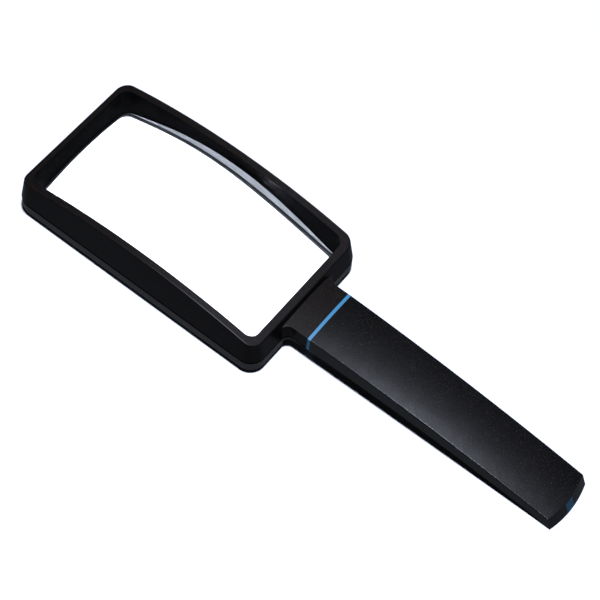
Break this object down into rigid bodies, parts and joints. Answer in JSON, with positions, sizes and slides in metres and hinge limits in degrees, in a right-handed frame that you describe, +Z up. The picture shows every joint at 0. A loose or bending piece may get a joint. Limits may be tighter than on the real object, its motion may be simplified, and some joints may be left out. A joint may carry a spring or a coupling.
{
  "type": "hand magnifier",
  "caption": "Rectangular reading magnifier with an arched frame round a thick convex lens and a flat, slightly curved handle with a coloured collar and end inlay.",
  "frame": {"origin": "middle of the footprint, in the plane that the magnifier lies on", "axes": "+X from the head to the handle, +Y across the lens's short side, +Z up, out of the lens's convex face"},
  "size_m": [0.2258, 0.061, 0.0236],
  "materials": {
    "frame_black": "fine spark texture on the rim and neck, satin on the walls",
    "rear_black": "satin",
    "lens_acrylic": "clear, optically polished",
    "collar_blue": "semi-gloss",
    "handle_grey": "fine spark texture",
    "cover_black": "satin",
    "screw_steel": "bright zinc"
  },
  "bodies": {
    "root": {"front_frame": "frame_black", "rear_frame": "rear_black", "lens": "lens_acrylic", "collar": "collar_blue", "handle_shell": "handle_grey", "handle_cover": "cover_black", "handle_screws": "screw_steel", "end_inlay": "collar_blue"}
  },
  "joints": []
}
